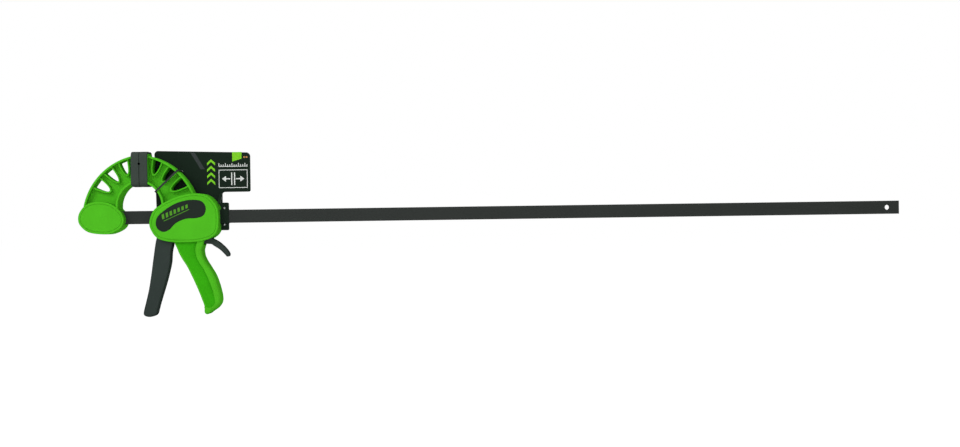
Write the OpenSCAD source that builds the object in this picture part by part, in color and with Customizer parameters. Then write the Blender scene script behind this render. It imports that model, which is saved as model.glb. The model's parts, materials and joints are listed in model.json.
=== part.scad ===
// One-handed quick release bar clamp, closed, with its retail card.
// X runs along the bar, Z points up through the jaws, Y points to the back.
// The origin is on the bar's centre line, in the fixed pad's clamping plane.

/* [Bar] */
// Distance from the clamping plane to the far end of the bar
bar_reach = 1040; // [300:5:1300]
// Height of the bar
bar_height = 18; // [15:0.5:20]
// Thickness of the bar
bar_thickness = 6; // [4.5:0.25:6.5]
// Diameter of the hole at the far end of the bar
end_hole_d = 7; // [4:0.5:9]
// Distance from the far end of the bar to the hole's centre
end_hole_inset = 16; // [10:1:30]

/* [Pads] */
// Distance from the bar's upper edge to the top of the pads
throat_depth = 81; // [78:0.5:86]
// Thickness of each pad along the bar
pad_thickness = 11; // [9:0.5:13]
// Height of each pad
pad_height = 48; // [44:0.5:50]
// Depth of each pad from front to back
pad_depth = 36; // [32:0.5:42]
// Radius of the pads' corners, seen along the bar
pad_corner = 8; // [4:0.5:12]
// Depth of the V groove across each pad
groove_depth = 2; // [1:0.25:3]
// Height of the V groove
groove_height = 4.6; // [3:0.2:7]
// Distance from the pads' top to the groove's centre
groove_drop = 16.7; // [12:0.1:22]
// Gap between the pads when the clamp is closed
pad_gap = 0.4; // [0.3:0.05:2]

/* [Jaw arms] */
// Thickness of the arms' outer rims
rim_thickness = 2.8; // [2:0.1:3.6]
// Thickness of the arms' inner rims
inner_rim_thickness = 3; // [2.5:0.1:5]
// Depth of the outer rims from front to back
outer_rim_depth = 24; // [20:0.5:30]
// Depth of the inner rims from front to back
inner_rim_depth = 34; // [28:0.5:36]
// Thickness of the web between the rims
web_thickness = 4; // [3:0.25:8]
// Width of the lip around each window
rib_width = 2.2; // [1:0.1:2.6]
// Height of that lip above the web
rib_height = 7; // [3:0.5:9]
// Thickness of the plate that carries a pad
face_thickness = 4; // [3:0.25:5]

/* [Body] */
// Depth of the fixed head and of the moving body
body_depth = 36; // [34:0.5:42]
// Wall that shows around each side cap
cap_rim = 3; // [2:0.25:4]
// Thickness of the side caps
cap_thickness = 3; // [2.5:0.1:3.5]
// Thickness of the inlays in the moving body's caps
inlay_thickness = 1; // [0.5:0.1:1.5]
// Diameter of the pegs that hold the side caps
peg_d = 3; // [2:0.25:4]
// Diameter of the pin that holds the bar in the fixed head
jaw_pin_d = 5; // [3.5:0.25:6]

/* [Trigger and grip] */
// Width of the trigger from front to back
trigger_width = 19; // [17:0.5:20]
// Width of the grip from front to back
grip_width = 29; // [28:0.5:32]
// Depth of the recessed panel in each side of the grip
panel_recess = 1.2; // [0.5:0.1:1.6]
// Diameter of the trigger's pivot pin
trigger_pin_d = 5; // [4:0.25:5.5]

/* [Release lever] */
// Width of the release lever from front to back
lever_width = 16; // [12:0.5:17]
// Diameter of the release lever's pivot pin
release_pin_d = 4; // [3:0.25:4.5]

/* [Works] */
// Thickness of each of the two drive plates
drive_plate_t = 3; // [2:0.25:3.25]
// Thickness of the brake plate
brake_plate_t = 3.5; // [2.5:0.25:3.75]
// Land of the plates above and below the bar
plate_land = 5.5; // [4:0.25:6]
// Tilt at which the brake plate holds the bar
brake_tilt = 8; // [6:0.5:8]
// Wire diameter of the drive spring
drive_wire = 1.6; // [1:0.1:1.8]
// Number of turns of the drive spring
drive_turns = 6; // [4:1:7]
// Wire diameter of the brake spring
brake_wire = 0.9; // [0.6:0.1:1.1]
// Coil radius of the brake spring
brake_coil_r = 3; // [2:0.25:3.25]
// Number of turns of the brake spring
brake_turns = 6; // [4:1:7]

/* [Retail card] */
// Thickness of the card sheet
card_t = 1; // [0.5:0.1:1.2]
// Right edge of the card, from the clamping plane
card_right = 147; // [135:1:180]
// Length of the sleeve around the bar
sleeve_length = 11; // [8:0.5:40]
// Width of the cable tie
tie_width = 2.5; // [2:0.1:4]
// Thickness of the cable tie
tie_t = 1.1; // [0.8:0.1:1.6]
// Diameter of the two rivets that close the sleeve
rivet_d = 1.2; // [0.8:0.1:1.4]

/* [Fits] */
// Clearance between the bar and what slides on it
slide_gap = 0.2; // [0.1:0.05:0.4]
// Clearance between a pivot pin and what turns on it
pivot_gap = 0.05; // [0.03:0.01:0.1]
// Clearance around a pressed pin or a seated piece
seat_gap = 0.02; // [0.01:0.01:0.05]
// Clearance around the caps, pads and inlays in their recesses
trim_gap = 0.15; // [0.1:0.05:0.3]
// Clearance beside the trigger, the release lever and the plates
side_gap = 0.4; // [0.3:0.05:0.6]

/* [Hidden] */

GREEN = "#4DB42A";
CHARCOAL = "#3A3F3D";
BLACK = "#222624";
STEEL = "#9A9FA0";
SPRING_STEEL = "#B9BDC0";

round_fn = 96;     // sides of round preview shapes, which are true circles
spline_steps = 5;  // straight pieces between two control points
overlap = 0.5;     // how far a cut runs past the face that it opens
room_gap = 1;      // room left at the ends of a stroke

// Bar
bar_top = bar_height / 2;
half_bar = bar_thickness / 2;
bar_start = -72;
jaw_pin_x = -50;
bar_slot_h = bar_height + 2 * slide_gap;
bar_slot_t = bar_thickness + 2 * slide_gap;

// Pads and the plates that carry them
pad_top = bar_top + throat_depth;
pad_bottom = pad_top - pad_height;
face_margin = 3;
face_top = pad_top - face_margin;
face_bottom = pad_bottom + face_margin;
face_depth = pad_depth - 2 * face_margin;
face_corner = pad_corner - face_margin;
snap_d = 2.4;
snap_rise = 1.5;
snap_height = 9.6;
snap_x = pad_thickness - face_thickness / 2;
snap_z = pad_bottom + snap_height;

// Arms: both rims are arcs, in a plane where x counts away from the pads' faces
outer_centre = [-8.6, -1.6];
inner_centre = [-4, 15.3];
outer_drop = 2.9;
inner_rise = 0.5;
arm_top = face_top - outer_drop;
arm_bottom = face_bottom + inner_rise;
outer_r = norm([pad_thickness, arm_top] - outer_centre);
inner_r = norm([pad_thickness, arm_bottom] - inner_centre);
arm_foot = [20, 8];

// Windows, from the lowest up: each hangs from the outer rim and narrows to a round tip
window_r = outer_r - rim_thickness;
window_angle = [36, 51.6, 67.9];
window_half = [6.9, 5.8, 5.5];
window_depth = [21.2, 20.6, 18.6];
window_lean = [1.2, 1.3, -1.5];
window_taper = 1.5;
window_round = 0.5;
window_steps = 10;
lip_tip = 1.3;

// Fixed head and moving body
half_depth = body_depth / 2;
core_half = half_depth - cap_thickness;
head_points = [
    [-83.8, -1], [-81, -10], [-71, -18.8], [-56, -22], [-40.8, -21.7], [-25.6, -14],
    [-21.4, -1.8], [-27, 9.6], [-40.3, 19.4], [-57, 22.2], [-72, 18.5], [-81, 9]
];
body_points = [
    [13.4, -6], [15.3, -17], [24, -28.5], [40, -33.6], [60, -34.8], [78, -34],
    [93, -30.9], [102.1, -25.3], [106.5, -18.1], [107.7, -8], [107.6, 3], [106, 12.2],
    [100.6, 21], [92.5, 28.4], [84, 31.3], [71, 31.6], [56, 28.9], [42.2, 23.9],
    [28.5, 16.6], [18.8, 8.6]
];
inlay_points = [
    [22.2, -9], [25.5, -16.7], [33, -20.1], [40.5, -17], [48, -9.5], [56.3, -4.9],
    [66, -2.2], [77, -1.9], [87.1, 1.5], [90.8, 11], [86.5, 20], [76, 23],
    [62, 22], [48.5, 17.8], [36, 10.5], [25, 1]
];
body_right = 107.8;
head_pegs = [[-70, 12], [-38, 11.5], [-56, -15]];
body_pegs = [[64, 21], [92, 8], [28, -23]];
peg_length = 3.5;

// Grip and trigger outlines
grip_points = [
    [48, -29], [50.6, -45.3], [56.6, -57.7], [62.7, -67.4], [70.7, -84], [77.4, -99.2],
    [82.7, -113], [86, -122.7], [86.6, -131], [90.5, -133.6], [96.5, -129.8],
    [104, -124.5], [108.4, -117.5], [108.7, -109], [105.9, -96], [101.1, -81.8],
    [95.8, -72.1], [89.7, -62.4], [85.7, -54.1], [84.4, -45.8], [83.9, -29]
];
panel_points = [
    [44, -30], [45.6, -47], [51.6, -60.5], [57.7, -70], [66, -86.5], [72.7, -101.4],
    [78, -115.5], [82.5, -121.6], [88, -123.6], [93, -124.4], [98.1, -122.4], [100.6, -116],
    [98.4, -103], [93.5, -88.7], [87.2, -74.3], [81.2, -64.6], [76.5, -55], [74.8, -44], [75.5, -30]
];
trigger_points = [
    [34, 12], [27.5, -8], [21.3, -28], [19.1, -38], [16, -58.4], [13, -79], [9.5, -99.4],
    [5.2, -117.1], [2, -130.5], [4, -135], [11.6, -136.4], [18.8, -133.5], [21.5, -126],
    [24.2, -116.4], [28.5, -102.8], [32.8, -89], [36.5, -75.4], [39.4, -61.7], [40.5, -48],
    [42.6, -38], [44.2, -26], [44.6, -19], [46.6, -13.5], [45.2, -4], [44.5, 11]
];

// Trigger pivot above the bar, and the pocket that the trigger swings in
pivot_x = 39;
pivot_rise = 2;
pivot_z = bar_top + trigger_pin_d / 2 + pivot_rise;
eye_wall = 2.6;
trigger_eye_r = trigger_pin_d / 2 + eye_wall;
half_trigger = trigger_width / 2;
works_half = half_trigger + side_gap;
fork_drop = 8.6;
fork_slot_t = bar_thickness + 2 * side_gap;
nose_r = 3;
nose_drop = 4.8;
nose = [44.2, -bar_top - nose_drop];
swing_points = [[61, -30], [61.6, -45], [64.8, -58], [67, -74], [18.6, -74], [20.4, -28], [26.6, -8]];

// Drive plates and drive spring
plate_half_h = bar_top + plate_land;
plate_gap = 0.2;
nose_gap = 0.35;
drive_stroke = 8.4;
drive_x = nose.x + nose_r + nose_gap;
drive_end_x = drive_x + 2 * drive_plate_t + plate_gap;
plate_room_x = drive_end_x + drive_stroke + room_gap;
plate_room_half_h = plate_half_h + overlap;
spring_seat_x = 75.5;
seat_wall = 2.5;
spring_gap = 0.25;
drive_coil_r = norm([bar_top, half_bar]) + drive_wire / 2 + spring_gap;
spring_bore_r = drive_coil_r + drive_wire / 2 + spring_gap;

// Brake plate, hung in a notch above the bar
brake_x = 85.5;
brake_rise = 5;
brake_z = bar_top + brake_rise;
brake_tail = 7.5;
brake_reach = brake_z + bar_top + brake_tail;
brake_slack = 0.75;
brake_room_left = spring_seat_x + seat_wall;
brake_room_right = 96;
brake_room_drop = 12;
brake_spring_drop = 4.6;
brake_spring_z = -bar_top - brake_spring_drop;
brake_spring_top = brake_spring_z + brake_coil_r + brake_wire / 2;
brake_spring_start = brake_x + brake_plate_t / 2 / cos(brake_tilt)
    - (brake_z - brake_spring_top) * tan(brake_tilt) + spring_gap;
brake_spring_end = 98;

// Release lever, pivoted low at the back of the body
release_x = 90;
release_z = -25;
release_eye_r = release_pin_d / 2 + eye_wall;
half_lever = lever_width / 2;
lever_points = [
    [76.9, -18.6], [79.6, -21.8], [84.2, -24.8], [85.2, -29.5], [85.4, -36.2], [91.4, -37.4],
    [96.2, -37.9], [99.8, -40.4], [106.4, -44.6], [110.5, -48.3], [114.5, -52.4],
    [117.2, -55.2], [119.7, -54], [119.9, -51], [117.2, -46.2], [113.2, -41.6],
    [109.2, -37.8], [105.3, -34.6], [100.9, -32], [96.8, -29.4], [94.6, -25], [92, -21],
    [87.5, -20.2], [82.2, -20.8], [79.1, -18.6], [78.8, -15.2], [77.2, -14.8]
];
lever_room_points = [
    [75.6, -12.6], [75.6, -19.8], [78.5, -23.5], [82, -26.5], [82, -38.2], [86.5, -38.2],
    [88, -42], [108, -42], [101, -30.5], [97.5, -28], [96, -19], [92, -18.5], [88, -12.6]
];

// Retail card, cable tie and rivets
card_foot = 16.5;
card_left = 14.1;
card_top_left = 92.2;
card_top_right = 88.4;
card_bottom = 34;
card_corners = [2, 2, 2, 3.5, 2.5, 5.5, 5];
neck_lap = 5;
neck_right = 108;
neck_left = 103.9;
neck_bottom = -10;
card_gap = 0.3;
card_y = half_depth + card_gap;
sleeve_gap = 0.8;
sleeve_x = body_right + sleeve_gap;
sleeve_flap = 10;
sleeve_half = bar_top + sleeve_flap;
sleeve_bend = bar_top + card_gap;
sleeve_slope = 0.9;
sleeve_shoulder = 6;
sleeve_corner = 2;
sleeve_flat = sleeve_bend + sleeve_slope;
sleeve_y = half_bar + card_gap;
tie_reach = 0.8;
tie_outer_angle = 47.2;
tie_inner_angle = 36.5;
tie_corner = 0.8;
tie_lock = [6, 4, 4.5];
rivet_lip = 0.5;
rivet_head_t = 0.5;
rivet_edge = 6;
rivet_x = sleeve_x + sleeve_length - rivet_edge;
rivet_inset = 1.2;
rivet_z = sleeve_flat + rivet_inset;

function wrap(list, i) = list[(i + len(list)) % len(list)];

// Point of a Catmull-Rom spline between b and c
function spline_point(a, b, c, d, t) =
    (2 * b + (c - a) * t + (2 * a - 5 * b + 4 * c - d) * t * t
    + (3 * b - a - 3 * c + d) * t * t * t) / 2;

// Smooth closed outline through its control points
function smooth(points) = [
    for (i = [0 : len(points) - 1])
        for (s = [0 : spline_steps - 1])
            spline_point(wrap(points, i - 1), points[i], wrap(points, i + 1),
                wrap(points, i + 2), s / spline_steps)
];

// The same outline moved inward by d, for one that runs anticlockwise
function inset(loop, d) = [
    for (i = [0 : len(loop) - 1])
        let (along = wrap(loop, i + 1) - wrap(loop, i - 1))
            loop[i] + d * [-along.y, along.x] / norm(along)
];

function polar(centre, r, angle) = centre + r * [cos(angle), sin(angle)];

// Angle of an arc of the given length
function arc_angle(length, r) = length / r * 180 / PI;

// Ends of the cable tie, just clear of the moving arm's two rims
tie_outer = polar(outer_centre, outer_r + tie_reach, tie_outer_angle);
tie_inner = polar(inner_centre, inner_r - tie_reach, tie_inner_angle);
tie_run = tie_outer - tie_inner;
tie_along = tie_run / norm(tie_run);
tie_angle = atan2(tie_run.y, tie_run.x);

// Polygon with each corner rounded to one radius, or to its own of a list
function rounded(points, radius) = [
    for (i = [0 : len(points) - 1])
        let (
            b = points[i],
            r = is_list(radius) ? radius[i] : radius,
            u = (wrap(points, i - 1) - b) / norm(wrap(points, i - 1) - b),
            v = (wrap(points, i + 1) - b) / norm(wrap(points, i + 1) - b),
            half = acos(u * v) / 2,
            centre = b + (u + v) / norm(u + v) * r / sin(half),
            first = b + u * r / tan(half),
            last = b + v * r / tan(half)
        )
        for (s = [0 : 6])
            let (p = first + (last - first) * s / 6)
                centre + (p - centre) / norm(p - centre) * r
];

// Solid between two depths, from an outline drawn in x and z
module across(y0, y1) {
    translate([0, y1, 0]) rotate([90, 0, 0]) linear_extrude(y1 - y0) children();
}

module slab(half) {
    across(-half, half) children();
}

// Round bar along Y at (x, z)
module pin_at(x, z, d, half) {
    translate([x, 0, z]) rotate([90, 0, 0])
        cylinder(d = d, h = 2 * half, center = true, $fn = round_fn);
}

// Box from its lower to its upper corner
module box(from, to) {
    translate(from) cube(to - from);
}

// Coil spring along X, as one swept tube
module coil(x0, x1, coil_r, wire_d, turns) {
    sides = 8;
    per_turn = 20;
    count = turns * per_turn;
    rise = (x1 - x0 - wire_d) / count;
    ring = [for (i = [0 : count]) for (k = [0 : sides - 1])
        let (turn = 360 * i / per_turn, r = coil_r + wire_d / 2 * cos(360 * k / sides))
            [x0 + wire_d / 2 + rise * i + wire_d / 2 * sin(360 * k / sides), r * cos(turn), r * sin(turn)]];
    tube = [for (i = [0 : count - 1]) for (k = [0 : sides - 1])
        let (a = i * sides + k, b = i * sides + (k + 1) % sides)
            [a, b, b + sides, a + sides]];
    caps = [[for (k = [sides - 1 : -1 : 0]) k], [for (k = [0 : sides - 1]) count * sides + k]];
    polyhedron(points = ring, faces = concat(tube, caps), convexity = 6);
}

module bar() {
    color(BLACK) difference() {
        box([bar_start, -half_bar, -bar_top], [bar_reach, half_bar, bar_top]);
        pin_at(bar_reach - end_hole_inset, 0, end_hole_d, bar_thickness);
        pin_at(jaw_pin_x, 0, jaw_pin_d + 2 * seat_gap, bar_thickness);
    }
}

// Slotted spring pin through the fixed head and the bar
module jaw_pin() {
    wall = 0.9;
    color(STEEL) difference() {
        pin_at(jaw_pin_x, 0, jaw_pin_d, core_half - seat_gap);
        pin_at(jaw_pin_x, 0, jaw_pin_d - 2 * wall, body_depth);
        box([jaw_pin_x - wall / 2, -body_depth, 0], [jaw_pin_x + wall / 2, body_depth, jaw_pin_d]);
    }
}

// One side of window i, widened by grow: from the outer rim (share 0) to the tip (share 1)
function window_side(i, side, grow) = [
    for (step = [0 : window_steps])
        let (
            share = sin(90 * step / window_steps),
            r = window_r - share * (window_depth[i] + lip_tip * grow),
            half = (window_half[i] + grow) * pow(1 - pow(share, window_taper), window_round)
        )
            polar(outer_centre, r, window_angle[i] + window_lean[i] * share + side * arc_angle(half, r))
];

// Outline of window i, widened by grow, with its open end inside the outer rim
module window(i, grow) {
    low = window_side(i, -1, grow);
    high = window_side(i, 1, grow);
    out = overlap / window_r;
    polygon(concat(
        [low[0] + (low[0] - outer_centre) * out], low,
        [for (step = [window_steps - 1 : -1 : 0]) high[step]],
        [high[0] + (high[0] - outer_centre) * out]
    ));
}

// Part of the plane that an arm takes, with x away from the pads' faces
module arm_bounds() {
    polygon([
        [pad_thickness, inner_centre.y], arm_foot, [outer_r, arm_foot.y],
        [outer_r, arm_top + pad_height], [pad_thickness, arm_top + pad_height]
    ]);
}

module arm_band(r_out, r_in, centre) {
    intersection() {
        difference() {
            translate(centre) circle(r_out, $fn = round_fn);
            translate(centre) circle(r_in, $fn = round_fn);
        }
        children();
    }
}

// Jaw arm with its rims, lipped windows and pad plate, drawn on the +X side
module arm() {
    difference() {
        union() {
            slab(web_thickness / 2) difference() {
                intersection() {
                    translate(outer_centre) circle(window_r + overlap, $fn = round_fn);
                    arm_bounds();
                }
                translate(inner_centre) circle(inner_r, $fn = round_fn);
            }
            for (i = [0 : len(window_half) - 1])
                slab(web_thickness / 2 + rib_height) window(i, rib_width);
        }
        for (i = [0 : len(window_half) - 1])
            slab(outer_rim_depth / 2) window(i, 0);
    }
    slab(outer_rim_depth / 2) arm_band(outer_r, window_r, outer_centre) arm_bounds();
    slab(inner_rim_depth / 2) arm_band(inner_r + inner_rim_thickness, inner_r, inner_centre) arm_bounds();
    pad_plate(face_thickness);
    pin_at(snap_x, snap_z, snap_d, face_depth / 2 + snap_rise);
}

// Block with rounded corners, seen along the bar, that starts pad_thickness - t away
module pad_plate(t) {
    translate([pad_thickness - t, 0, 0])
        along_bar(t, face_depth, face_bottom, face_top, face_corner);
}

module along_bar(length, depth, z0, z1, corner) {
    outline = [[depth / 2, z0], [depth / 2, z1], [-depth / 2, z1], [-depth / 2, z0]];
    rotate([90, 0, 90]) linear_extrude(length) polygon(rounded(outline, corner));
}

// Pad with a pocket for its plate and a V groove in its face, on the +X side
module pad() {
    groove_z = pad_top - groove_drop;
    color(CHARCOAL) difference() {
        along_bar(pad_thickness, pad_depth, pad_bottom, pad_top, pad_corner);
        translate([pad_thickness - face_thickness, 0, 0])
            along_bar(face_thickness + overlap, face_depth + 2 * trim_gap,
                face_bottom - trim_gap, face_top + trim_gap, face_corner);
        pin_at(snap_x, snap_z, snap_d + 2 * trim_gap, face_depth / 2 + snap_rise + trim_gap);
        slab(pad_depth) polygon([
            [0, groove_z - groove_height / 2], [groove_depth, groove_z], [0, groove_z + groove_height / 2],
            [-overlap, groove_z + groove_height / 2], [-overlap, groove_z - groove_height / 2]
        ]);
    }
}

// Side cap in its recess, with its pegs: back is 0 for the front cap and 1 for the rear one
module cap(points, pegs, back) {
    mirror([0, back, 0]) {
        across(-half_depth, -core_half) polygon(inset(smooth(points), cap_rim + trim_gap));
        for (p = pegs) peg(p, peg_d, 0, peg_length);
    }
}

// Peg at p, from behind the cap's inner face to its end
module peg(p, d, behind, end) {
    translate([p.x, -core_half - behind, p.y]) rotate([-90, 0, 0])
        cylinder(d = d, h = behind + end, $fn = round_fn);
}

// Head or body block and what is moulded to it, with a cap recess and peg holes in each side
module head(points, pegs) {
    difference() {
        union() {
            slab(half_depth) polygon(smooth(points));
            children();
        }
        for (back = [0, 1])
            mirror([0, back, 0]) {
                across(-half_depth - overlap, -core_half) polygon(inset(smooth(points), cap_rim));
                for (p = pegs) peg(p, peg_d + 2 * seat_gap, overlap, peg_length + overlap);
            }
    }
}

module fixed_jaw() {
    color(GREEN) difference() {
        head(head_points, head_pegs) mirror([1, 0, 0]) arm();
        box([bar_start, -bar_slot_t / 2, -bar_slot_h / 2], [0, bar_slot_t / 2, bar_slot_h / 2]);
        pin_at(jaw_pin_x, 0, jaw_pin_d + 2 * seat_gap, core_half + overlap);
    }
}

module fixed_front_cap() {
    color(GREEN) cap(head_points, head_pegs, 0);
}

module fixed_rear_cap() {
    color(GREEN) cap(head_points, head_pegs, 1);
}

module fixed_pad() {
    mirror([1, 0, 0]) pad();
}

// Room that the trigger sweeps, from its eye to the channel in the grip
module trigger_room() {
    slab(works_half) polygon(concat([
        [pivot_x - trigger_eye_r - room_gap, pivot_z],
        [plate_room_x, plate_room_half_h], [plate_room_x, -plate_room_half_h]
    ], swing_points));
    pin_at(pivot_x, pivot_z, 2 * (trigger_eye_r + overlap), works_half);
}

// Room for the drive plates and their spring around the bar
module drive_room() {
    box([drive_x - room_gap, -works_half, -plate_room_half_h],
        [plate_room_x, works_half, plate_room_half_h]);
    translate([drive_x, 0, 0]) rotate([0, 90, 0])
        cylinder(r = spring_bore_r, h = spring_seat_x - drive_x, $fn = round_fn);
}

// Room for the brake plate, with the notch that it hangs in and its spring's bore
module brake_room() {
    box([brake_room_left, -works_half, -bar_top - brake_room_drop],
        [brake_room_right, works_half, brake_z]);
    pin_at(brake_x, brake_z, brake_plate_t + 2 * side_gap, works_half);
    translate([brake_room_right - overlap, 0, brake_spring_z]) rotate([0, 90, 0])
        cylinder(r = brake_coil_r + brake_wire / 2 + spring_gap,
            h = brake_spring_end - brake_room_right + overlap, $fn = round_fn);
}

// Room that the release lever swings in
module lever_room() {
    slab(half_lever + side_gap) polygon(lever_room_points);
}

module moving_jaw() {
    color(GREEN) difference() {
        head(body_points, body_pegs) {
            translate([pad_gap, 0, 0]) arm();
            grip();
        }
        box([0, -bar_slot_t / 2, -bar_slot_h / 2], [body_right + overlap, bar_slot_t / 2, bar_slot_h / 2]);
        trigger_room();
        drive_room();
        brake_room();
        lever_room();
        pin_at(pivot_x, pivot_z, trigger_pin_d + 2 * seat_gap, core_half + overlap);
        pin_at(release_x, release_z, release_pin_d + 2 * seat_gap, core_half + overlap);
    }
}

// Grip with a recessed panel in each side
module grip() {
    half = grip_width / 2;
    difference() {
        slab(half) polygon(smooth(grip_points));
        for (side = [0, 1])
            mirror([0, side, 0])
                across(-half - overlap, -half + panel_recess) polygon(smooth(panel_points));
    }
}

// Cap of the moving body, with a recess for its inlay
module inlay_cap(back) {
    color(GREEN) difference() {
        cap(body_points, body_pegs, back);
        mirror([0, back, 0])
            across(-half_depth - overlap, -half_depth + inlay_thickness)
                polygon(inset(smooth(inlay_points), -trim_gap));
    }
}

module inlay(back) {
    color(BLACK) mirror([0, back, 0])
        across(-half_depth, -half_depth + inlay_thickness) polygon(smooth(inlay_points));
}

module front_cap() {
    inlay_cap(0);
}

module rear_cap() {
    inlay_cap(1);
}

module front_inlay() {
    inlay(0);
}

module rear_inlay() {
    inlay(1);
}

module moving_pad() {
    translate([pad_gap, 0, 0]) pad();
}

module trigger_pin() {
    color(STEEL) pin_at(pivot_x, pivot_z, trigger_pin_d, core_half - seat_gap);
}

// Trigger, forked around the bar, with its nose against the drive plates
module trigger() {
    color(CHARCOAL) difference() {
        union() {
            slab(half_trigger) polygon(smooth(trigger_points));
            pin_at(pivot_x, pivot_z, 2 * trigger_eye_r, half_trigger);
            pin_at(nose.x, nose.y, 2 * nose_r, half_trigger);
        }
        box([0, -fork_slot_t / 2, -bar_top - fork_drop], [spring_seat_x, fork_slot_t / 2, pad_top]);
        pin_at(pivot_x, pivot_z, trigger_pin_d + 2 * pivot_gap, trigger_width);
    }
}

module drive_plates() {
    color(STEEL) for (i = [0, 1])
        translate([drive_x + i * (drive_plate_t + plate_gap), 0, 0]) difference() {
            box([0, -half_trigger, -plate_half_h], [drive_plate_t, half_trigger, plate_half_h]);
            box([-overlap, -bar_slot_t / 2, -bar_slot_h / 2],
                [drive_plate_t + overlap, bar_slot_t / 2, bar_slot_h / 2]);
        }
}

module drive_spring() {
    color(SPRING_STEEL)
        coil(drive_end_x + spring_gap, spring_seat_x - spring_gap, drive_coil_r, drive_wire, drive_turns);
}

module release_pin() {
    color(STEEL) pin_at(release_x, release_z, release_pin_d, core_half - seat_gap);
}

module release_lever() {
    color(CHARCOAL) difference() {
        union() {
            slab(half_lever) polygon(smooth(lever_points));
            pin_at(release_x, release_z, 2 * release_eye_r, half_lever);
        }
        pin_at(release_x, release_z, release_pin_d + 2 * pivot_gap, lever_width);
    }
}

// Brake plate, hung from its rounded top end and tilted against the bar
module brake_plate() {
    color(STEEL) translate([brake_x, 0, brake_z]) rotate([0, brake_tilt, 0]) difference() {
        union() {
            box([-brake_plate_t / 2, -half_trigger, -brake_reach], [brake_plate_t / 2, half_trigger, 0]);
            pin_at(0, 0, brake_plate_t, half_trigger);
        }
        box([-brake_plate_t, -bar_slot_t / 2, -brake_z - bar_top - brake_slack],
            [brake_plate_t, bar_slot_t / 2, -brake_z + bar_top + brake_slack]);
    }
}

module brake_spring() {
    color(SPRING_STEEL) translate([0, 0, brake_spring_z])
        coil(brake_spring_start, brake_spring_end - spring_gap, brake_coil_r, brake_wire, brake_turns);
}

// Printed card: a panel behind the arm, a bent neck and a sleeve around the bar
module hang_card() {
    color(BLACK) difference() {
        union() {
            across(card_y, card_y + card_t) card_outline();
            card_neck();
            card_sleeve();
        }
        for (p = [tie_outer + tie_along * tie_t / 2, tie_inner - tie_along * tie_t / 2])
            across(half_depth, card_y + card_t + overlap)
                translate(p) rotate(tie_angle)
                    square([tie_t + 2 * trim_gap, tie_width + 2 * trim_gap], center = true);
        for (z = [-rivet_z, rivet_z])
            pin_at(rivet_x, z, rivet_d + 2 * seat_gap, card_t + overlap);
    }
}

module card_outline() {
    polygon(rounded([
        [card_foot, 0], [neck_left, neck_bottom], [neck_right, sleeve_half], [neck_right, card_bottom],
        [card_right, card_bottom], [card_right, card_top_right], [card_left, card_top_left]
    ], card_corners));
}

// Strip from the panel down to the sleeve, drawn in y and z
module card_neck() {
    translate([neck_left, 0, 0]) rotate([90, 0, 90]) linear_extrude(neck_right - neck_left) polygon([
        [card_y, card_bottom + neck_lap], [card_y, card_bottom], [0, sleeve_half],
        [0, sleeve_half - card_t], [card_t, sleeve_half - card_t], [card_t, sleeve_half],
        [card_y + card_t, card_bottom], [card_y + card_t, card_bottom + neck_lap]
    ]);
}

// Two sheets that pass the bar and meet above and below it, and a shoulder up to the neck
module card_sleeve() {
    intersection() {
        for (back = [0, 1])
            translate([sleeve_x, 0, 0]) rotate([90, 0, 90]) linear_extrude(sleeve_length)
                mirror([back, 0]) polygon([
                    [0, sleeve_half], [0, sleeve_flat], [sleeve_y, sleeve_bend], [sleeve_y, -sleeve_bend],
                    [0, -sleeve_flat], [0, -sleeve_half], [card_t, -sleeve_half], [card_t, -sleeve_flat],
                    [sleeve_y + card_t, -sleeve_bend], [sleeve_y + card_t, sleeve_bend],
                    [card_t, sleeve_flat], [card_t, sleeve_half]
                ]);
        across(-half_depth, half_depth) polygon(rounded([
            [body_right - sleeve_corner, -sleeve_half], [sleeve_x + sleeve_length, -sleeve_half],
            [sleeve_x + sleeve_length, sleeve_half], [body_right - sleeve_corner, sleeve_half]
        ], sleeve_corner));
    }
    across(0, card_t) polygon([
        [neck_left, sleeve_half], [sleeve_x + overlap, sleeve_half - sleeve_shoulder],
        [sleeve_x + overlap, sleeve_half]
    ]);
}

// Cable tie around the moving arm's rims and through the card, with its lock at the back
module card_tie() {
    length = norm(tie_run);
    inner_front = -inner_rim_depth / 2 - card_gap;
    outer_front = -outer_rim_depth / 2 - card_gap;
    turn = inner_rim_thickness + 2 * tie_reach;
    back = card_y + card_t + card_gap;
    color(BLACK) translate([tie_inner.x, 0, tie_inner.y]) rotate([0, -tie_angle, 0]) {
        translate([0, 0, -tie_width / 2]) linear_extrude(tie_width) difference() {
            polygon(rounded([
                [-tie_t, inner_front - tie_t], [turn, inner_front - tie_t], [length + tie_t, outer_front - tie_t],
                [length + tie_t, back + tie_t], [-tie_t, back + tie_t]
            ], tie_corner + tie_t));
            polygon(rounded([
                [0, inner_front], [turn, inner_front], [length, outer_front], [length, back], [0, back]
            ], tie_corner));
        }
        box([length / 2 - tie_lock.x / 2, back, -tie_lock.z / 2],
            [length / 2 + tie_lock.x / 2, back + tie_lock.y, tie_lock.z / 2]);
    }
}

// Two rivets through both sheets of the sleeve, above and below the bar
module card_rivets() {
    color(STEEL) for (z = [-rivet_z, rivet_z]) {
        pin_at(rivet_x, z, rivet_d, card_t + rivet_head_t);
        for (side = [-1, 1])
            translate([0, side * (card_t + rivet_head_t / 2), 0])
                pin_at(rivet_x, z, rivet_d + 2 * rivet_lip, rivet_head_t / 2);
    }
}

bar();
jaw_pin();
fixed_jaw();
fixed_front_cap();
fixed_rear_cap();
fixed_pad();
moving_jaw();
front_cap();
rear_cap();
front_inlay();
rear_inlay();
moving_pad();
trigger_pin();
trigger();
drive_plates();
drive_spring();
release_pin();
release_lever();
brake_plate();
brake_spring();
hang_card();
card_tie();
card_rivets();
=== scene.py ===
"""Looks of the one-handed bar clamp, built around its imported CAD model

Shapes are worked out in mm and become metres in link_mesh. The rest is in metres."""
import json
import math

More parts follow.
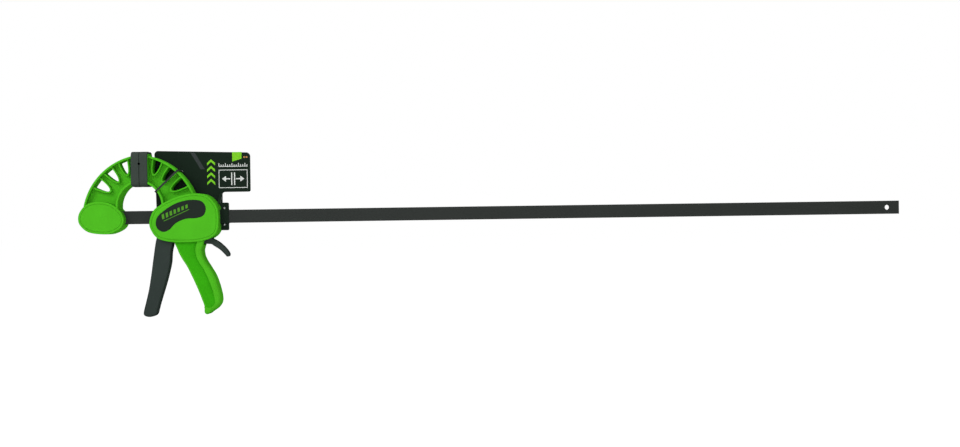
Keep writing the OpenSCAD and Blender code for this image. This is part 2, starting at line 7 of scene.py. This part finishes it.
import bmesh
import bpy
from mathutils import Matrix, Vector


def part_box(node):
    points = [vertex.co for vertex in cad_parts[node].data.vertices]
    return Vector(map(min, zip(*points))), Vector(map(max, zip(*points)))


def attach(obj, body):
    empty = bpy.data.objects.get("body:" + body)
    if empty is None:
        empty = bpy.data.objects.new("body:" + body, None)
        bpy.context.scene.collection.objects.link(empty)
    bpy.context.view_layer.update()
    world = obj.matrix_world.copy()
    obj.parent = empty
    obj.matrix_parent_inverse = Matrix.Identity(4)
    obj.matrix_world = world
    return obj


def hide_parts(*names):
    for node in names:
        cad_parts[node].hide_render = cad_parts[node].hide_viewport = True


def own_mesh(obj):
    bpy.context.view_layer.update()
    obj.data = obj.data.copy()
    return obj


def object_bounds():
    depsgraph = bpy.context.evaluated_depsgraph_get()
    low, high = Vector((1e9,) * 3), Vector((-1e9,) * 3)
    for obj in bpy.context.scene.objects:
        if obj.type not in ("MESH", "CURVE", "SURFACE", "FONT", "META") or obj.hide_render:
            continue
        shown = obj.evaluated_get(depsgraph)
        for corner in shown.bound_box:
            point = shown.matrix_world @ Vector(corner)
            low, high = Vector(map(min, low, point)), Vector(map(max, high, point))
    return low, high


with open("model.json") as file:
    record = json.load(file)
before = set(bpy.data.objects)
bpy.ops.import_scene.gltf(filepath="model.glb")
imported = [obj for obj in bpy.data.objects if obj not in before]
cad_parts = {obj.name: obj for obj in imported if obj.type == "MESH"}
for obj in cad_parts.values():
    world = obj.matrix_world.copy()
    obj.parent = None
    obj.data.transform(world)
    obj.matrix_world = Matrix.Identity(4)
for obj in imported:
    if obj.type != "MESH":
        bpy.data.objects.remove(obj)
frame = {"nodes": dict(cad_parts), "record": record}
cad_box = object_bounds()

MM = 0.001
X, Y = 0, 1             # axis numbers
scene = bpy.context.scene
record = frame["record"]
SLOTS = {part["node"]: part["material_slot"] for part in record["subparts"]}
BODIES = {node: body for body, nodes in record["behaviour"]["bodies"].items() for node in nodes}


# Camera: it looks along +Y, level with the bar, and FIELD_WIDTH is what it sees at the bar's plane

CAMERA_DISTANCE = 2.15
CAMERA_AIM = Vector((0.4644, 0, -0.0146))
CAMERA_ROLL = math.radians(0.79)
FIELD_WIDTH = 1.32
SENSOR_WIDTH = 36
FAR_CLIP = 50


def make_camera():
    data = bpy.data.cameras.new("camera")
    data.sensor_width = SENSOR_WIDTH
    data.lens = SENSOR_WIDTH * CAMERA_DISTANCE / FIELD_WIDTH
    data.clip_end = FAR_CLIP
    camera = bpy.data.objects.new("camera", data)
    scene.collection.objects.link(camera)
    place = Matrix.Translation(CAMERA_AIM - Vector((0, CAMERA_DISTANCE, 0)))
    roll = Matrix.Rotation(CAMERA_ROLL, 4, "Y")
    camera.matrix_world = place @ roll @ Matrix.Rotation(math.pi / 2, 4, "X")
    scene.camera = camera


# Materials

# Noise scales, in cells per metre
FLOW_CELLS = 38         # flow pattern of moulded plastic
GRAIN_CELLS = 2600      # eroded grain of moulded plastic
LINE_CELLS = 900        # fine lines of bare steel
STREAK_CELLS = 700      # rolling streaks of coated steel
CLOUD_CELLS = 9         # slow change of tone along the bar
LINE_STRETCH = (0.07, 1, 1)
STREAK_STRETCH = (0.03, 1, 1)
NOISE_MIDDLE = (0.3, 0.7)
FLOW_TONE = 0.05
LINE_TONE = 0.06
STREAK_TONE = 0.12
STREAK_SHARE = 0.6
STREAK_BUMP = 0.08
GRAIN_HEIGHT = 0.2 * MM
STREAK_HEIGHT = 0.1 * MM


def new_material(name):
    material = bpy.data.materials.new(name)
    material.use_nodes = True
    nodes = material.node_tree.nodes
    nodes.clear()
    return material, nodes, material.node_tree.links


def put_out(nodes, links, shader):
    output = nodes.new("ShaderNodeOutputMaterial")
    links.new(shader.outputs[0], output.inputs["Surface"])


def new_math(nodes, operation, second=0.5):
    node = nodes.new("ShaderNodeMath")
    node.operation = operation
    node.inputs[1].default_value = second
    return node


def noise(nodes, links, scale, detail=3.0, stretch=(1, 1, 1)):
    """Noise in the piece's own frame: scale is in cells per metre along each stretched axis"""
    source = nodes.new("ShaderNodeTexCoord")
    mapping = nodes.new("ShaderNodeMapping")
    mapping.inputs["Scale"].default_value = stretch
    links.new(source.outputs["Object"], mapping.inputs["Vector"])
    texture = nodes.new("ShaderNodeTexNoise")
    texture.inputs["Scale"].default_value = scale
    texture.inputs["Detail"].default_value = detail
    links.new(mapping.outputs["Vector"], texture.inputs["Vector"])
    return texture.outputs["Fac"]


def spread(nodes, links, value, low, high):
    """Maps a noise's middle range to the span from low to high"""
    span = nodes.new("ShaderNodeMapRange")
    span.inputs["From Min"].default_value, span.inputs["From Max"].default_value = NOISE_MIDDLE
    span.inputs["To Min"].default_value = low
    span.inputs["To Max"].default_value = high
    links.new(value, span.inputs["Value"])
    return span.outputs["Result"]


def tinted(nodes, links, colour, value, amount):
    """A colour made up to amount lighter or darker by a noise"""
    shade = nodes.new("ShaderNodeVectorMath")
    shade.operation = "SCALE"
    shade.inputs[0].default_value = colour
    links.new(spread(nodes, links, value, 1 - amount, 1 + amount), shade.inputs["Scale"])
    return shade.outputs["Vector"]


def bumped(nodes, links, value, strength, distance):
    bump = nodes.new("ShaderNodeBump")
    bump.inputs["Strength"].default_value = strength
    bump.inputs["Distance"].default_value = distance
    links.new(value, bump.inputs["Height"])
    return bump.outputs["Normal"]


def moulded(name, colour, roughness, specular, grain=0.06):
    """Moulded plastic: fine eroded grain, and a faint flow pattern in its colour and its gloss"""
    material, nodes, links = new_material(name)
    shader = nodes.new("ShaderNodeBsdfPrincipled")
    shader.inputs["Specular IOR Level"].default_value = specular
    flow = noise(nodes, links, FLOW_CELLS)
    links.new(tinted(nodes, links, colour, flow, FLOW_TONE), shader.inputs["Base Color"])
    gloss = spread(nodes, links, flow, roughness - 0.05, roughness + 0.06)
    links.new(gloss, shader.inputs["Roughness"])
    fine = noise(nodes, links, GRAIN_CELLS, 2)
    links.new(bumped(nodes, links, fine, grain, GRAIN_HEIGHT), shader.inputs["Normal"])
    put_out(nodes, links, shader)
    return material


def metal(name, colour, roughness):
    """Bare steel with fine lengthwise lines in its colour and its gloss"""
    material, nodes, links = new_material(name)
    shader = nodes.new("ShaderNodeBsdfPrincipled")
    shader.inputs["Metallic"].default_value = 1
    lines = noise(nodes, links, LINE_CELLS, 4, LINE_STRETCH)
    links.new(tinted(nodes, links, colour, lines, LINE_TONE), shader.inputs["Base Color"])
    gloss = spread(nodes, links, lines, roughness - 0.08, roughness + 0.1)
    links.new(gloss, shader.inputs["Roughness"])
    put_out(nodes, links, shader)
    return material


def coated(name, colour, roughness, specular):
    """Black coated steel: rolling streaks along X and a slow change of tone along the bar"""
    material, nodes, links = new_material(name)
    shader = nodes.new("ShaderNodeBsdfPrincipled")
    shader.inputs["Specular IOR Level"].default_value = specular
    streaks = noise(nodes, links, STREAK_CELLS, 4, STREAK_STRETCH)
    cloud = noise(nodes, links, CLOUD_CELLS, 3)
    mix = new_math(nodes, "MULTIPLY_ADD", STREAK_SHARE)
    links.new(streaks, mix.inputs[0])
    rest = new_math(nodes, "MULTIPLY", 1 - STREAK_SHARE)
    links.new(cloud, rest.inputs[0])
    links.new(rest.outputs[0], mix.inputs[2])
    tone = tinted(nodes, links, colour, mix.outputs[0], STREAK_TONE)
    links.new(tone, shader.inputs["Base Color"])
    gloss = spread(nodes, links, streaks, roughness - 0.07, roughness + 0.08)
    links.new(gloss, shader.inputs["Roughness"])
    relief = bumped(nodes, links, streaks, STREAK_BUMP, STREAK_HEIGHT)
    links.new(relief, shader.inputs["Normal"])
    put_out(nodes, links, shader)
    return material


def ink(name, colour):
    return moulded(name, colour, 0.45, 0.1, grain=0.02)


BAR_BLACK = (0.023, 0.0265, 0.0243)
# Each after its name: colour, roughness and, but for bare metal, specular level
MATERIALS = {
    "green_plastic": moulded("green_plastic", (0.07, 0.425, 0.015), 0.42, 0),
    "charcoal_plastic": moulded("charcoal_plastic", (0.032, 0.042, 0.038), 0.5, 0),
    "soft_pad": moulded("soft_pad", (0.042, 0.054, 0.046), 0.68, 0, grain=0.12),
    "black_inlay": moulded("black_inlay", (0.012, 0.018, 0.0137), 0.5, 0.05),
    "bar_steel": coated("bar_steel", BAR_BLACK, 0.5, 0.06),
    "bright_steel": metal("bright_steel", (0.5, 0.51, 0.52), 0.3),
    "spring_steel": metal("spring_steel", (0.55, 0.56, 0.58), 0.25),
    "printed_card": moulded("printed_card", (0.0068, 0.0145, 0.0088), 0.4, 0.03, grain=0.03),
    "black_nylon": moulded("black_nylon", (0.019, 0.024, 0.021), 0.42, 0.1),
}
# Finishes that differ from their slot's: the grip's panel is a deeper green with a coarser grain,
# the wall of the bar's hole has no sheen, and the card's rivets are dull
PANEL_GREEN = moulded("panel_green", (0.035, 0.345, 0.006), 0.5, 0, grain=0.14)
HOLE_STEEL = coated("hole_steel", BAR_BLACK, 0.6, 0)
RIVET_STEEL = metal("rivet_steel", (0.22, 0.225, 0.225), 0.4)
INKS = {
    "lime_ink": ink("lime_ink", (0.17, 0.52, 0.012)),
    "moss_ink": ink("moss_ink", (0.065, 0.25, 0.012)),
    "white_ink": ink("white_ink", (0.6, 0.62, 0.6)),
    "grey_ink": ink("grey_ink", (0.026, 0.032, 0.032)),
    "orange_ink": ink("orange_ink", (0.42, 0.2, 0.06)),
}


# Pieces made from the CAD nodes, with rounded edges

# Flat sides, as distances in mm from the middle plane
BLOCK_SIDE = 18         # blocks, caps and inlays
RIM_SIDE = 17           # inner rims
OUTER_RIM_SIDE = 12
LIP_SIDE = 9            # lips of the windows
GRIP_SIDE = 14.5        # band of the grip
PANEL_SIDE = 13.3       # recessed panel of the grip
TRIGGER_SIDE = 9.5
LEVER_SIDE = 8
PANEL_STEP = GRIP_SIDE - PANEL_SIDE
STEP_LEVEL = 13.6       # a wall of the grip whose middle lies further out is the panel's step

# Radii of rounded edges, in mm
BLOCK_ROUND = 0.9
SEAM_ROUND = 0.3        # between a block and its cap
RIM_ROUND = 0.8
LIP_ROUND = 0.6
GRIP_ROUND = 5.5
PANEL_ROUND = 2.4
STEP_ROUND = 0.9
CAP_ROUND = 0.7
INLAY_ROUND = 0.3
TRIGGER_ROUND = 2
LEVER_ROUND = 1.3
BAR_ROUND = 0.5
PAD_ROUND = 0.9
PAD_MARGIN = 2.5        # what lies further from a pad's outline belongs to its pocket or groove

# The grip's rounding grows from its ends by these shares of the distance
GRIP_TOP = -35
GRIP_TIP = Vector((88, 0, -130))
GRIP_END_ROUND = 0.8
LEAST_GRIP_ROUND = 0.6
GROWTH_FROM_TOP = 0.45
GROWTH_FROM_TIP = 0.4

# The scoop beside the grip's band is deepest at the band and fades out towards the tip
SCOOP_WIDTH = 13
SCOOP_DEPTH = 2.2
SCOOP_END = -121
SCOOP_FADE = 22

# Gate mark on the fixed head, and the hole near the bar's end
GATE_MARK = Vector((-48.8, -BLOCK_SIDE, 2))
GATE_RADIUS = 3
GATE_DEPTH = 0.3
END_HOLE = Vector((1024, 0, 0))
HOLE_REACH = 5

# How edges are found and cutters made
JOIN = 0.002 * MM
TOUCH = 0.02
SHARP_TURN = math.radians(32)
SQUARE = 0.99           # least part of a side's normal along its axis
STEEPEST = 0.7          # most of a wall's normal along that axis
FACES_OUT = 0.9         # least part of a panel's normal along Y
FACES_ACROSS = 0.5      # most of a hole's wall
FACES_PANEL = -0.3      # most along X of the step beside a panel
CLEAR = 0.05            # how far a cutter stands off the faces beside its edge
ARC_STEPS = 4
LONGEST_MITRE = 1.6
SHORTEST_SUM = 0.1
BALL_SEGMENTS = 160
BALL_RINGS = 96


def joined(name):
    """A node's mesh in mm with its split corners joined"""
    mesh = bmesh.new()
    mesh.from_mesh(frame["nodes"][name].data)
    bmesh.ops.remove_doubles(mesh, verts=mesh.verts, dist=JOIN)
    mesh.transform(Matrix.Scale(1 / MM, 4))
    return mesh


def edge_facts(mesh, width_of, axis):
    """The sharp outer edges of the sides square to an axis, each with its way into the side, the
    side's sign and the rounding"""
    facts = {}
    for edge in mesh.edges:
        if len(edge.link_faces) != 2 or not edge.is_convex or edge.calc_face_angle(0) < SHARP_TURN:
            continue
        side, wall = sorted(edge.link_faces, key=lambda face: -abs(face.normal[axis]))
        if abs(side.normal[axis]) < SQUARE or abs(wall.normal[axis]) > STEEPEST:
            continue
        inward = -wall.normal.copy()
        inward[axis] = 0
        width = width_of((edge.verts[0].co + edge.verts[1].co) / 2, wall)
        if width:
            facts[edge] = (inward.normalized(), math.copysign(1, side.normal[axis]), width)
    return facts


def chains(facts):
    """Runs of vertices along the edges, each with its edges, and whether it closes on itself"""
    links = {}
    for edge in facts:
        for vert in edge.verts:
            links.setdefault(vert, []).append(edge)
    left = set(facts)
    starts = [vert for vert, edges in links.items() if len(edges) != 2] + list(links)
    for start in starts:
        for first in links[start]:
            if first not in left:
                continue
            verts, edges, edge = [start], [], first
            while edge is not None:
                left.discard(edge)
                edges.append(edge)
                verts.append(edge.other_vert(verts[-1]))
                ahead = [other for other in links[verts[-1]] if other in left]
                edge = ahead[0] if len(links[verts[-1]]) == 2 and ahead else None
            closed = verts[0] is verts[-1] and len(edges) > 2
            yield (verts[:-1] if closed else verts), edges, closed


def rounding(width):
    """Section of a cutter that rounds an edge: a square less a quarter disc, as (inward, below)"""
    section = [(-CLEAR, -CLEAR), (-CLEAR, width)]
    for step in range(ARC_STEPS + 1):
        turn = math.pi / 2 * step / ARC_STEPS
        section.append((width - width * math.cos(turn), width - width * math.sin(turn)))
    return section + [(width, -CLEAR)]


def scoop(depth):
    """Section of a cutter that hollows the grip's panel beside its band, deepest at the band"""
    section = [(0, -CLEAR)]
    for step in range(ARC_STEPS * 2 + 1):
        share = step / (ARC_STEPS * 2)
        below = PANEL_STEP - CLEAR + depth * (1 - share) ** 2
        section.append((-SCOOP_WIDTH * share, below))
    return section + [(-SCOOP_WIDTH, -CLEAR)]


def sweep(mesh, facts, chain, axis, section_of):
    """Adds to mesh a bar of the given section, swept along a chain of edges"""
    verts, edges, closed = chain
    count = len(verts)
    rings = []
    for index, vert in enumerate(verts):
        before = edges[index - 1] if closed or index else edges[0]
        after = edges[index] if index < len(edges) else edges[-1]
        inward = facts[before][0] + facts[after][0]
        mitre = min(LONGEST_MITRE, 2 / max(inward.length, SHORTEST_SUM))
        inward.normalize()
        width = (facts[before][2] + facts[after][2]) / 2
        ring = []
        for into, below in section_of(width):
            place = vert.co + inward * into * mitre
            place[axis] -= facts[edges[0]][1] * below
            ring.append(mesh.verts.new(place))
        rings.append(ring)
    size = len(rings[0])
    for index in range(count if closed else count - 1):
        one, two = rings[index], rings[(index + 1) % count]
        for corner in range(size):
            after = (corner + 1) % size
            mesh.faces.new((one[corner], one[after], two[after], two[corner]))
    if not closed:
        mesh.faces.new(rings[0])
        mesh.faces.new(list(reversed(rings[-1])))


def link_mesh(name, mesh):
    """Makes an object of a mesh in mm"""
    mesh.transform(Matrix.Scale(MM, 4))
    data = bpy.data.meshes.new(name)
    mesh.to_mesh(data)
    mesh.free()
    piece = bpy.data.objects.new(name, data)
    scene.collection.objects.link(piece)
    return piece


def smooth(piece):
    """Smooth shading, but for the sharp edges"""
    piece.data.shade_smooth()
    piece.data.set_sharp_from_angle(angle=SHARP_TURN)


def stand_for(piece, node):
    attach(piece, BODIES[node])
    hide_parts(node)


def applied(piece):
    """A new mesh with the piece's modifiers worked in"""
    bpy.context.view_layer.update()
    view = piece.evaluated_get(bpy.context.evaluated_depsgraph_get())
    return bpy.data.meshes.new_from_object(view)


def dimple(place, radius, depth):
    """Cutter for a shallow round hollow in a front face: a ball of which only the cap dips in"""
    ball = bmesh.new()
    size = (radius ** 2 + depth ** 2) / (2 * depth)
    bmesh.ops.create_uvsphere(ball, u_segments=BALL_SEGMENTS, v_segments=BALL_RINGS, radius=size)
    centre = Matrix.Translation(place - Vector((0, size - depth, 0)))
    bmesh.ops.transform(ball, matrix=centre, verts=ball.verts)
    return ball


def rounded_node(node, *cuts, hollows=(), panel=None, panel_finish=PANEL_GREEN):
    """A copy of a node with shaped edges, which stands for it

    Each cut is (width_of, axis, section_of). panel tells the faces that take the second finish,
    and a scoop takes it too."""
    mesh = joined(node)
    tools = [(ball, 0) for ball in hollows]
    for width_of, axis, section_of in cuts:
        tool = bmesh.new()
        facts = edge_facts(mesh, width_of, axis)
        for chain in chains(facts):
            sweep(tool, facts, chain, axis, section_of)
        bmesh.ops.recalc_face_normals(tool, faces=tool.faces)
        tools.append((tool, int(section_of is scoop)))
    if panel:
        for face in mesh.faces:
            face.material_index = int(panel(face))
    piece = link_mesh(node + "_shape", mesh)
    piece.data.materials.append(MATERIALS[SLOTS[node]])
    if panel:
        piece.data.materials.append(panel_finish)
    cutters = []
    for tool, finish in tools:
        for face in tool.faces:
            face.material_index = finish
        cutter = link_mesh("cutter", tool)
        for material in piece.data.materials:
            cutter.data.materials.append(material)
        cut = piece.modifiers.new("cut", "BOOLEAN")
        cut.operation = "DIFFERENCE"
        cut.solver = "MANIFOLD"
        cut.object = cutter
        cutters.append(cutter)
    piece.data = applied(piece)
    piece.modifiers.clear()
    for cutter in cutters:
        bpy.data.objects.remove(cutter)
    smooth(piece)
    piece.modifiers.new("normals", "WEIGHTED_NORMAL").keep_sharp = True
    stand_for(piece, node)


def at(value, level):
    return abs(abs(value) - level) < TOUCH


def outward(middle, wall, node):
    """True where a wall looks away from the middle of a node's box"""
    low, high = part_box(node)
    centre = (Vector(low) + Vector(high)) / 2 / MM
    return (middle - centre).dot(Vector((wall.normal.x, 0, wall.normal.z))) > 0


def jaw_edge(cap):
    """Roundings of a jaw whose block has the given cap"""
    def width_of(middle, wall):
        if at(middle.y, BLOCK_SIDE):
            return BLOCK_ROUND if outward(middle, wall, cap) else SEAM_ROUND
        if at(middle.y, RIM_SIDE) or at(middle.y, OUTER_RIM_SIDE):
            return RIM_ROUND
        if at(middle.y, LIP_SIDE):
            return LIP_ROUND
        if middle.z < GRIP_TOP and at(middle.y, GRIP_SIDE):
            return grip_edge(middle, wall, GRIP_ROUND)
        if middle.z < GRIP_TOP and at(middle.y, PANEL_SIDE):
            return grip_edge(middle, wall, PANEL_ROUND)
        return 0
    return width_of


def grip_edge(middle, wall, most):
    """Rounding of the grip: wide along its length, less where it meets the body and at its tip"""
    if abs(wall.calc_center_median().y) > STEP_LEVEL:
        return STEP_ROUND
    from_top = GRIP_TOP - middle.z
    from_tip = (Vector((middle.x, 0, middle.z)) - GRIP_TIP).length
    near_top = GRIP_END_ROUND + from_top * GROWTH_FROM_TOP
    near_tip = GRIP_END_ROUND + from_tip * GROWTH_FROM_TIP
    return max(LEAST_GRIP_ROUND, min(most, near_top, near_tip))


def scoop_edge(middle, wall):
    """Depth of the scoop along the step between the grip's band and its panel"""
    on_step = at(middle.y, GRIP_SIDE) and abs(wall.calc_center_median().y) >= STEP_LEVEL
    if middle.z > GRIP_TOP or not on_step or wall.normal.x >= FACES_PANEL:
        return 0
    return SCOOP_DEPTH * min(1, max(0, (middle.z - SCOOP_END) / SCOOP_FADE))


def pad_edge(middle, wall):
    """Pads: rounded all round, but not in the pocket for the plate"""
    low, high = (Vector(corner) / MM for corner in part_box("fixed_pad"))
    margin = min(middle.y - low.y, high.y - middle.y, middle.z - low.z, high.z - middle.z)
    return PAD_ROUND if margin < PAD_MARGIN else 0


def side_edge(level, width, top=math.inf):
    """The same rounding for all edges of the flat sides at a level, below a height"""
    return lambda middle, wall: width if at(middle.y, level) and middle.z < top else 0


def cap_edge(cap):
    return lambda middle, wall: CAP_ROUND if outward(middle, wall, cap) else 0


def bar_edge(middle, wall):
    return BAR_ROUND


def grip_panel(face):
    """True for the two flat panels of the grip"""
    middle = face.calc_center_median()
    return at(middle.y, PANEL_SIDE) and middle.z < GRIP_TOP and abs(face.normal.y) > FACES_OUT


def hole_wall(face):
    """True for the wall of the hole near the bar's end"""
    away = face.calc_center_median() - END_HOLE
    return math.hypot(away.x, away.z) < HOLE_REACH and abs(face.normal.y) < FACES_ACROSS


def make_rounded_pieces():
    rounded_node("fixed_jaw", (jaw_edge("fixed_front_cap"), Y, rounding))
    grip_cuts = (jaw_edge("front_cap"), Y, rounding), (scoop_edge, Y, scoop)
    rounded_node("moving_jaw", *grip_cuts, panel=grip_panel)
    gate_mark = dimple(GATE_MARK, GATE_RADIUS, GATE_DEPTH)
    for cap in ("front_cap", "rear_cap", "fixed_front_cap", "fixed_rear_cap"):
        hollows = [gate_mark] if cap == "fixed_front_cap" else []
        rounded_node(cap, (cap_edge(cap), Y, rounding), hollows=hollows)
    for inlay in ("front_inlay", "rear_inlay"):
        rounded_node(inlay, (side_edge(BLOCK_SIDE, INLAY_ROUND), Y, rounding))
    rounded_node("trigger", (side_edge(TRIGGER_SIDE, TRIGGER_ROUND, top=0), Y, rounding))
    rounded_node("release_lever", (side_edge(LEVER_SIDE, LEVER_ROUND), Y, rounding))
    rounded_node("bar", (bar_edge, Y, rounding), panel=hole_wall, panel_finish=HOLE_STEEL)
    for pad in ("fixed_pad", "moving_pad"):
        rounded_node(pad, (pad_edge, X, rounding))


# Springs: joint, fixed end in mm, and share of the length kept at the joint's limit

SPRINGS = {
    "drive_spring": ("drive_stroke", Vector((75.5, 0, 0)), 0.6),
    "brake_spring": ("brake_tilt", Vector((98, 0, -13.6)), 0.79),
}


def make_springs():
    """Copies of the springs, each standing for its node"""
    for node, (joint, fixed_end, keep) in SPRINGS.items():
        piece = link_mesh(node + "_shape", joined(node))
        piece.data.materials.append(MATERIALS[SLOTS[node]])
        smooth(piece)
        stand_for(piece, node)
        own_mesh(piece)


# Print on the card, and marks on the inlays

INK_LIFT = 0.06
INK_THICKNESS = INK_LIFT * 0.9
CARD_GAP = 0.3
CARD_FRONT = BLOCK_SIDE + CARD_GAP
PRINT_LINE = 0.9        # width of the print's thin lines
SIGN_LEFT, SIGN_LOW = 103, 39.5
SIGN_WIDTH, SIGN_HEIGHT = 40, 25.4
SCALE_LOW = 69
SCALE_MARKS = 14
CHEVRONS = 4
DOTS = 2
DASHES = 7
MARKS_TURN = math.radians(-24)
MARKS_CENTRE = (50, 4)


def slanted(x, z, width, height, slant=0.0, cut=0.0):
    """Outline of a bar from its lower left corner

    Its top leans by slant, and its lower right corner is raised by cut."""
    return [(x, z), (x + width, z + cut), (x + width + slant, z + height), (x + slant, z + height)]


def ink_piece(name, ink_name, outlines, depth, turn=0.0, centre=(0, 0)):
    """Flat printed shapes, drawn in x and z, just in front of a face at a depth"""
    mesh = bmesh.new()
    rotate = Matrix.Rotation(turn, 3, "Y")
    middle = Vector((centre[0], 0, centre[1]))
    for outline in outlines:
        verts = []
        for x, z in outline:
            place = middle + rotate @ (Vector((x, 0, z)) - middle)
            verts.append(mesh.verts.new((place.x, depth - INK_LIFT, place.z)))
        mesh.faces.new(verts)
    bmesh.ops.recalc_face_normals(mesh, faces=mesh.faces)
    for face in mesh.faces:
        if face.normal.y > 0:
            face.normal_flip()
    solid = bmesh.ops.extrude_face_region(mesh, geom=mesh.faces[:])
    for item in solid["geom"]:
        if isinstance(item, bmesh.types.BMVert):
            item.co.y += INK_THICKNESS
    bmesh.ops.recalc_face_normals(mesh, faces=mesh.faces)
    piece = link_mesh(name, mesh)
    piece.data.materials.append(INKS[ink_name])
    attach(piece, "sliding_jaw")


def frame_outlines(x, z, width, height, line):
    """Four bars of a rectangular frame"""
    side = height - 2 * line
    return [
        slanted(x, z, width, line), slanted(x, z + height - line, width, line),
        slanted(x, z + line, line, side), slanted(x + width - line, z + line, line, side),
    ]


def chevron(x, z, width, rise, line):
    """Outline of a chevron that points up, from its lowest left corner"""
    return [(x, z), (x + width / 2, z + rise), (x + width, z), (x + width, z + line),
            (x + width / 2, z + rise + line), (x, z + line)]


def make_card_print():
    """Plain tab, chevrons, a scale and a framed opening sign, in the colours of a shop card"""
    tab = [slanted(122, 76, 13, 13.2, 0, 4)]
    chevrons = [chevron(87, 44 + step * 9, 11, 5, 3.6) for step in range(CHEVRONS)]
    ink_piece("card_lime", "lime_ink", tab + chevrons, CARD_FRONT)
    scale = [slanted(SIGN_LEFT, SCALE_LOW, SIGN_WIDTH, PRINT_LINE)]
    for step in range(SCALE_MARKS):
        height = 2.2 if step % 3 else 4
        scale.append(slanted(SIGN_LEFT + step * 3, SCALE_LOW + PRINT_LINE, 1, height))
    arrows = [
        slanted(113, 51.4, 6, 1.6), slanted(127, 51.4, 6, 1.6),
        [(107.5, 52.2), (113, 48.2), (113, 56.2)], [(138.5, 52.2), (133, 56.2), (133, 48.2)],
        slanted(120.2, 43.5, 1.6, 17.4), slanted(124.2, 43.5, 1.6, 17.4),
    ]
    sign = frame_outlines(SIGN_LEFT, SIGN_LOW, SIGN_WIDTH, SIGN_HEIGHT, PRINT_LINE)
    ink_piece("card_white", "white_ink", scale + arrows + sign, CARD_FRONT)
    ink_piece("card_grey", "grey_ink", [slanted(78, 66, 6, 23.4, -14)], CARD_FRONT)
    dots = [slanted(137.5 + step * 3.4, 81, 2.2, 2.2) for step in range(DOTS)]
    ink_piece("card_orange", "orange_ink", dots, CARD_FRONT)


def make_inlay_marks():
    """Row of slanted dashes over a thin line along each inlay"""
    marks = [slanted(30 + step * 5.8, 5, 3.4, 6.4 - step * 0.3, 1.8) for step in range(DASHES)]
    marks.append(slanted(31, 1.8, 38, 0.8))
    for name, depth in (("front_marks", -BLOCK_SIDE), ("rear_marks", BLOCK_SIDE + INK_LIFT)):
        ink_piece(name, "moss_ink", marks, depth, MARKS_TURN, MARKS_CENTRE)


def finish_nodes():
    for name, piece in frame["nodes"].items():
        finish = RIVET_STEEL if name == "card_rivets" else MATERIALS[SLOTS[name]]
        piece.data.materials.clear()
        piece.data.materials.append(finish)


# Floor, lamps and background

AMBIENT = 0.34
FLOOR_HALF = 12
FLOOR_SHADE = 0.8
FLOOR_GLOW = 1.1
FLOOR_SHADOW_SHARE = 0.12
WHITE = (1, 1, 1, 1)
# Lamps: place, aim, size and watts
LAMPS = {
    "key": ((-1.1, -2.1, 1.3), (0.1, 0, 0), 1.2, 33),
    "front": ((0.46, -2.3, 0.1), (0.3, 0, 0), 0.8, 15),
    "fill": ((1.8, -1.8, 0.9), (0.4, 0, 0), 1.6, 6),
    "top": ((0.2, 0.2, 1.8), (0.2, 0, 0), 1.2, 14),
    "back": ((0.3, 2.4, 0.7), (0.3, 0, 0), 1.6, 20),
}


def make_lamps():
    for name, (place, aim, size, power) in LAMPS.items():
        data = bpy.data.lights.new(name, "AREA")
        data.size = size
        data.energy = power
        lamp = bpy.data.objects.new(name, data)
        scene.collection.objects.link(lamp)
        lamp.location = place
        lamp.rotation_euler = (Vector(aim) - Vector(place)).to_track_quat("-Z", "Y").to_euler()


def white_to_camera(nodes, links):
    """1 for rays that look straight, or by a mirror or through glass, at the background"""
    path = nodes.new("ShaderNodeLightPath")
    total = path.outputs["Is Camera Ray"]
    for other in ("Is Glossy Ray", "Is Transmission Ray"):
        both = new_math(nodes, "MAXIMUM")
        links.new(total, both.inputs[0])
        links.new(path.outputs[other], both.inputs[1])
        total = both.outputs[0]
    return total


def make_world():
    """White background, which lights the object only at the AMBIENT level"""
    world = bpy.data.worlds.new("world")
    scene.world = world
    world.use_nodes = True
    nodes, links = world.node_tree.nodes, world.node_tree.links
    nodes.clear()
    mix = nodes.new("ShaderNodeMix")
    mix.data_type = "FLOAT"
    factor, low, high = mix.inputs[0], mix.inputs[2], mix.inputs[3]
    low.default_value = AMBIENT
    high.default_value = 1
    links.new(white_to_camera(nodes, links), factor)
    background = nodes.new("ShaderNodeBackground")
    background.inputs["Color"].default_value = WHITE
    links.new(mix.outputs[0], background.inputs["Strength"])
    output = nodes.new("ShaderNodeOutputWorld")
    links.new(background.outputs[0], output.inputs["Surface"])


def make_floor():
    """Pale floor just below the trigger's and the grip's ends; it keeps a light shadow"""
    low = cad_box[0][2]
    half = FLOOR_HALF
    mesh = bpy.data.meshes.new("floor")
    corners = [(-half, -half, low), (half, -half, low), (half, half, low), (-half, half, low)]
    mesh.from_pydata(corners, [], [(0, 1, 2, 3)])
    floor = bpy.data.objects.new("floor", mesh)
    scene.collection.objects.link(floor)
    material, nodes, links = new_material("floor")
    matte = nodes.new("ShaderNodeBsdfDiffuse")
    matte.inputs["Color"].default_value = (FLOOR_SHADE, FLOOR_SHADE, FLOOR_SHADE, 1)
    glow = nodes.new("ShaderNodeEmission")
    glow.inputs["Color"].default_value = WHITE
    glow.inputs["Strength"].default_value = FLOOR_GLOW
    share = new_math(nodes, "MULTIPLY", 1 - FLOOR_SHADOW_SHARE)
    links.new(white_to_camera(nodes, links), share.inputs[0])
    mix = nodes.new("ShaderNodeMixShader")
    links.new(share.outputs[0], mix.inputs[0])
    links.new(matte.outputs[0], mix.inputs[1])
    links.new(glow.outputs[0], mix.inputs[2])
    put_out(nodes, links, mix)
    mesh.materials.append(material)


make_camera()
make_world()
make_floor()
make_lamps()
finish_nodes()
make_rounded_pieces()
make_springs()
make_card_print()
make_inlay_marks()
scene.view_settings.view_transform = "Standard"
